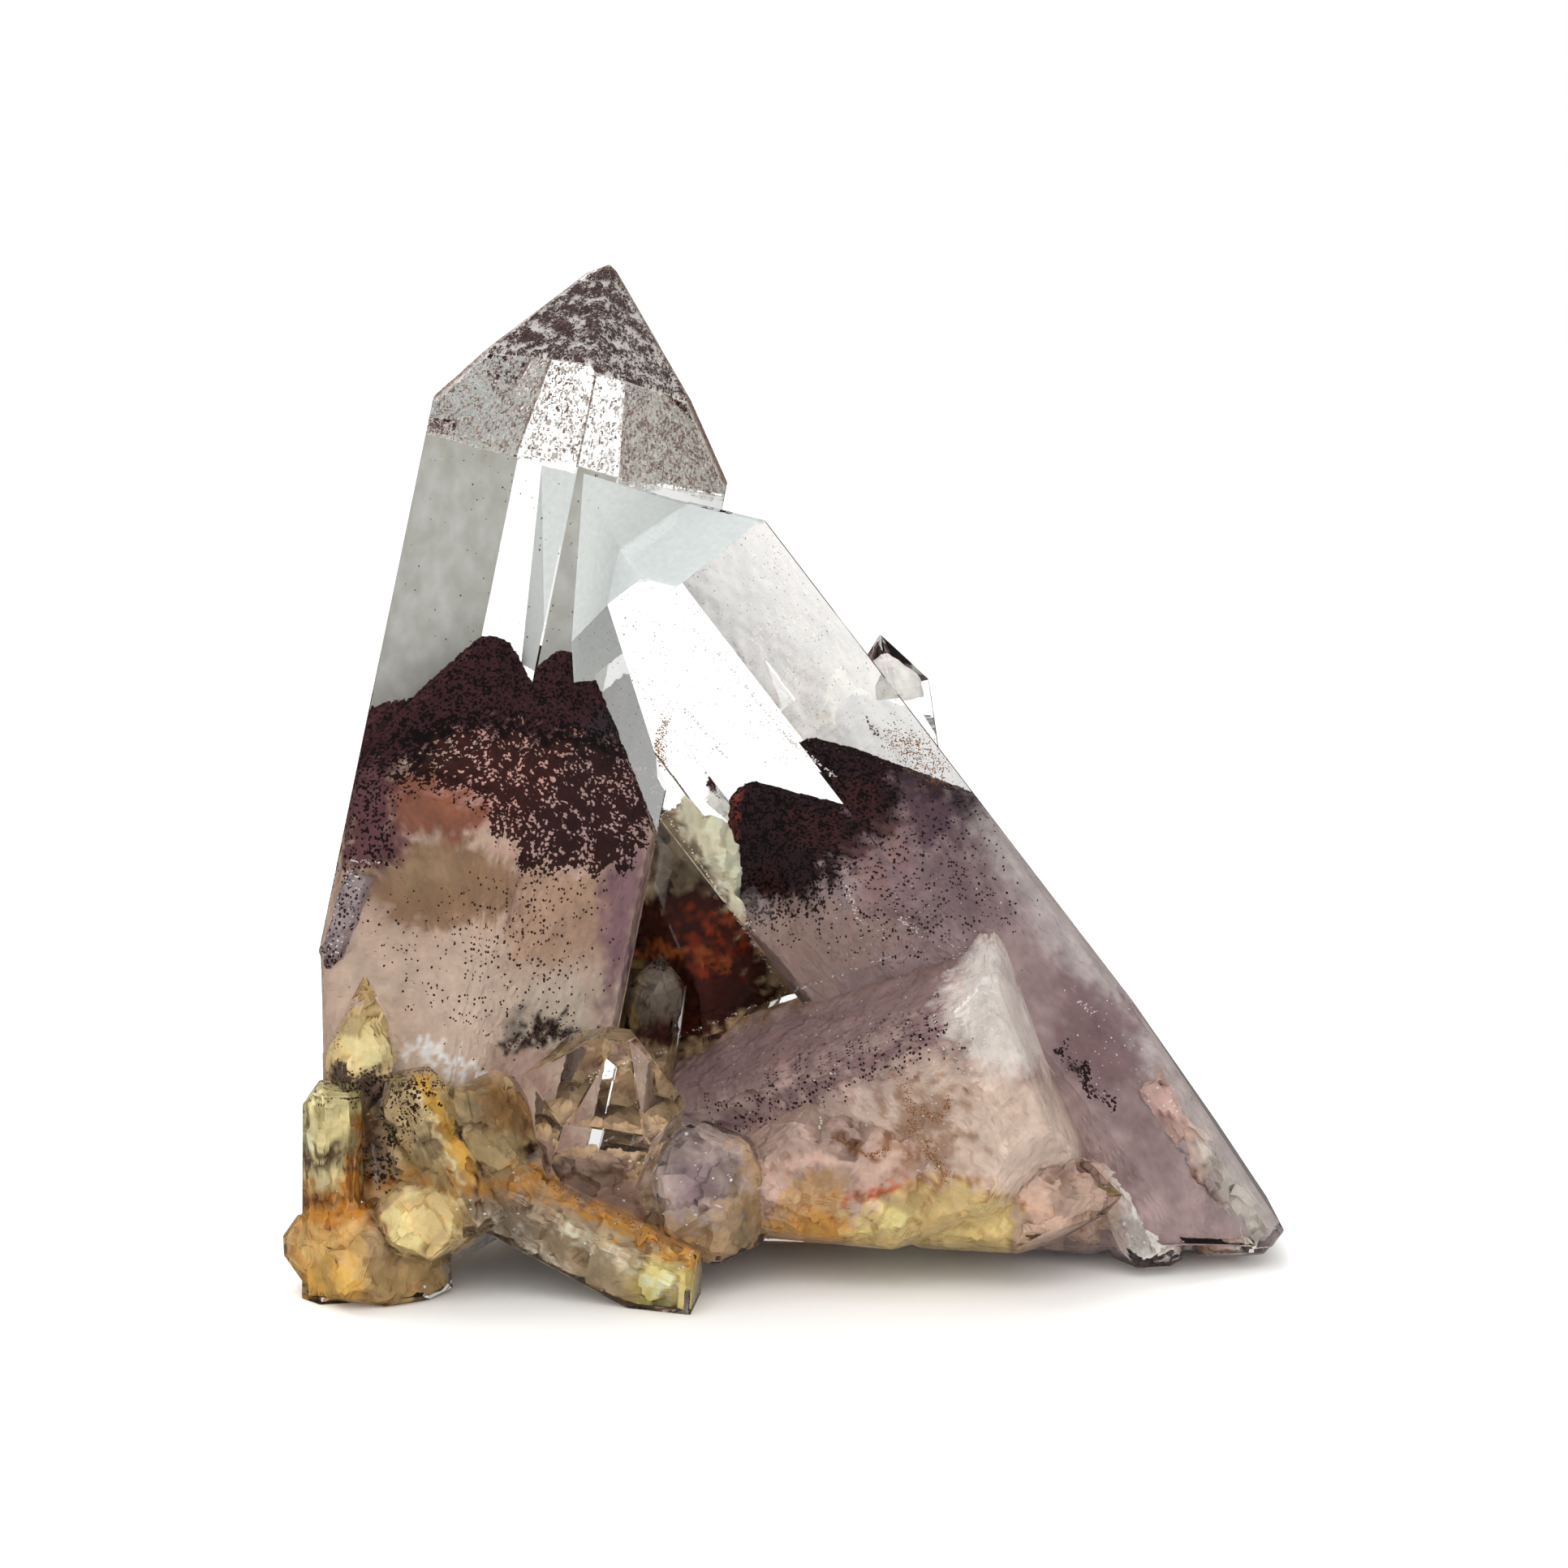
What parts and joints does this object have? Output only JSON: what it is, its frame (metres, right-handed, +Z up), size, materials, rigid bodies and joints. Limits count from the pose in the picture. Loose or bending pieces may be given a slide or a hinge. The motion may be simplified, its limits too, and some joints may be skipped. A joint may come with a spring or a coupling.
{
  "type": "phantom quartz crystal cluster",
  "caption": "Clear six-sided quartz crystals with dark phantoms sealed inside, grown together on a broken, iron-stained foot and standing on its level cut.",
  "frame": {"origin": "middle of the bounding box's underside, on the level cut that the cluster rests on", "axes": "+Z up, -Y to the front, which is the side that the picture shows, +X to the right of that view; the two great crystals lean together in the XZ plane"},
  "size_m": [0.0698, 0.0336, 0.07],
  "materials": {
    "clear_quartz": "natural crystal faces, glassy, with fine growth lines and small chips",
    "milky_quartz": "cloudy pinkish-grey quartz inside the crystals",
    "phantom_dust": "dull maroon and black mineral flecks and films",
    "iron_stain": "ochre and rust-brown iron oxide, dull to waxy",
    "veils": "white healed cracks and glints inside the crystals"
  },
  "bodies": {
    "root": {"quartz_cluster": "clear_quartz"}
  },
  "joints": []
}
